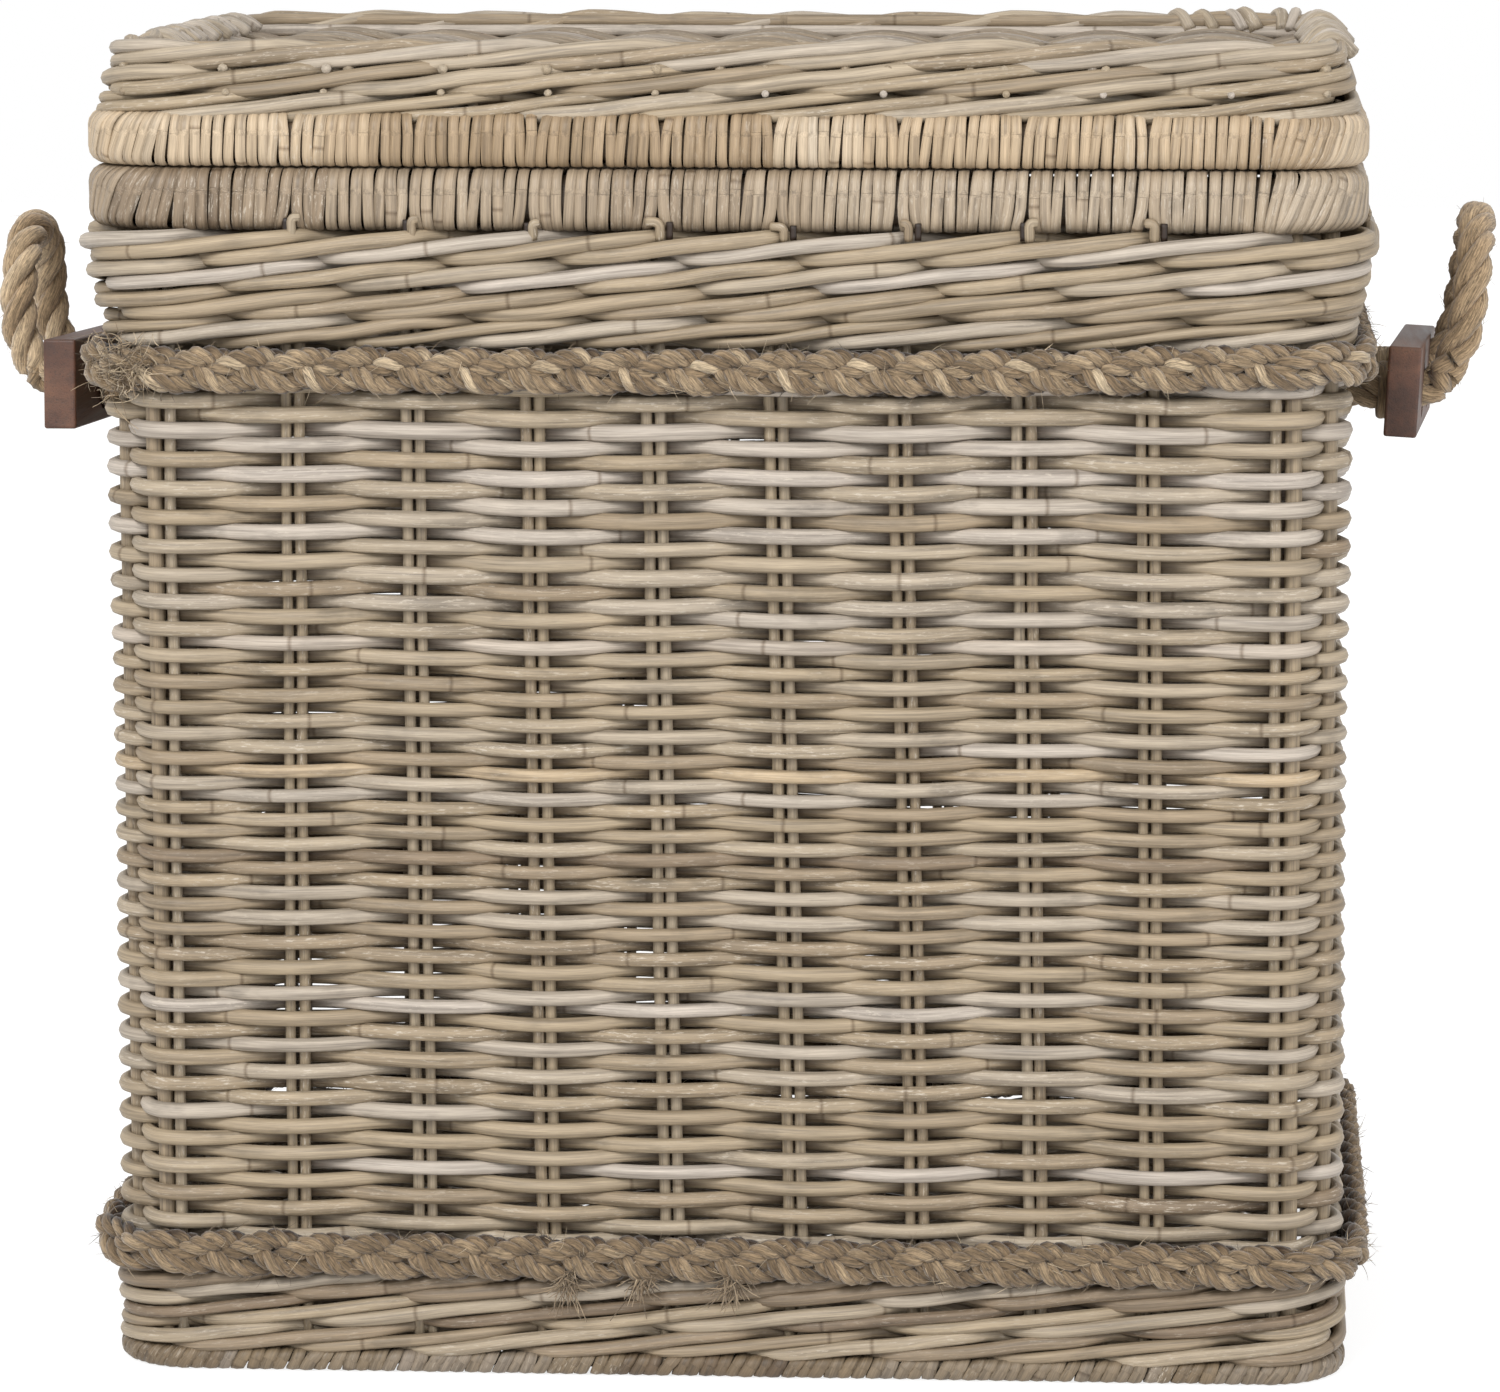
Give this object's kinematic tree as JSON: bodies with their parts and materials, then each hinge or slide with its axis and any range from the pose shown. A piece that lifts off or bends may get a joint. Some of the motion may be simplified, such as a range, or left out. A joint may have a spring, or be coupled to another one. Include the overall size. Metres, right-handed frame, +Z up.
{
  "type": "woven laundry basket",
  "caption": "Tall rectangular woven cane hamper with a hinged lid, plaited rope bands, and rope loop handles held in wooden side bars.",
  "frame": {"origin": "middle of the footprint, on the floor", "axes": "+Z up, the front faces -Y, the lid's hinge is along X at the back, the handles are on -X (left) and +X (right)"},
  "size_m": [0.7752, 0.426, 0.6448],
  "materials": {
    "cane": "grey-brown round cane with a slight natural gloss",
    "pale_cane": "blond split cane, satin",
    "plaited_rope": "coarse hairy plaited plant fibre, matte",
    "laid_rope": "three-strand laid hemp rope, matte with loose fibres",
    "dark_wood": "dark red-brown stained hardwood, satin"
  },
  "bodies": {
    "basket": {"foot_rod": "cane", "foot_wrapping": "cane", "base_panel": "cane", "base_sticks": "cane", "lower_wale": "cane", "lower_rope_band": "plaited_rope", "front_weave": "cane", "back_weave": "cane", "left_weave": "cane", "right_weave": "cane", "corner_weave": "cane", "front_stakes": "cane", "back_stakes": "cane", "left_stakes": "cane", "right_stakes": "cane", "corner_posts": "cane", "corner_stakes": "cane", "upper_rope_band": "plaited_rope", "upper_wale": "cane", "rim_rod": "cane", "rim_wrapping": "cane", "stake_tips": "cane", "left_handle_bar": "dark_wood", "right_handle_bar": "dark_wood", "left_rope_ends": "laid_rope", "right_rope_ends": "laid_rope", "hinge_loops": "cane", "hinge_pins": "cane"},
    "lid": {"lid_rim_rod": "pale_cane", "lid_rim_wrapping": "pale_cane", "lid_wale": "cane", "lid_stakes": "cane", "lid_border": "cane", "lid_top_weave": "cane", "lid_sticks": "cane", "lid_hinge_loops": "cane"},
    "left_handle": {"left_handle_rope": "laid_rope"},
    "right_handle": {"right_handle_rope": "laid_rope"}
  },
  "joints": [
    {"name": "lid_hinge", "type": "hinge", "parent": "basket", "child": "lid", "pos_m": [0, 0.2064, 0.58465], "axis": [-1, 0, 0], "range_deg": [0, 105]},
    {"name": "left_handle_swing", "type": "hinge", "parent": "basket", "child": "left_handle", "pos_m": [-0.352, 0, 0.466], "axis": [0, -1, 0], "range_deg": [-15, 150]},
    {"name": "right_handle_swing", "type": "hinge", "parent": "basket", "child": "right_handle", "pos_m": [0.352, 0, 0.466], "axis": [0, 1, 0], "range_deg": [-15, 150]}
  ]
}
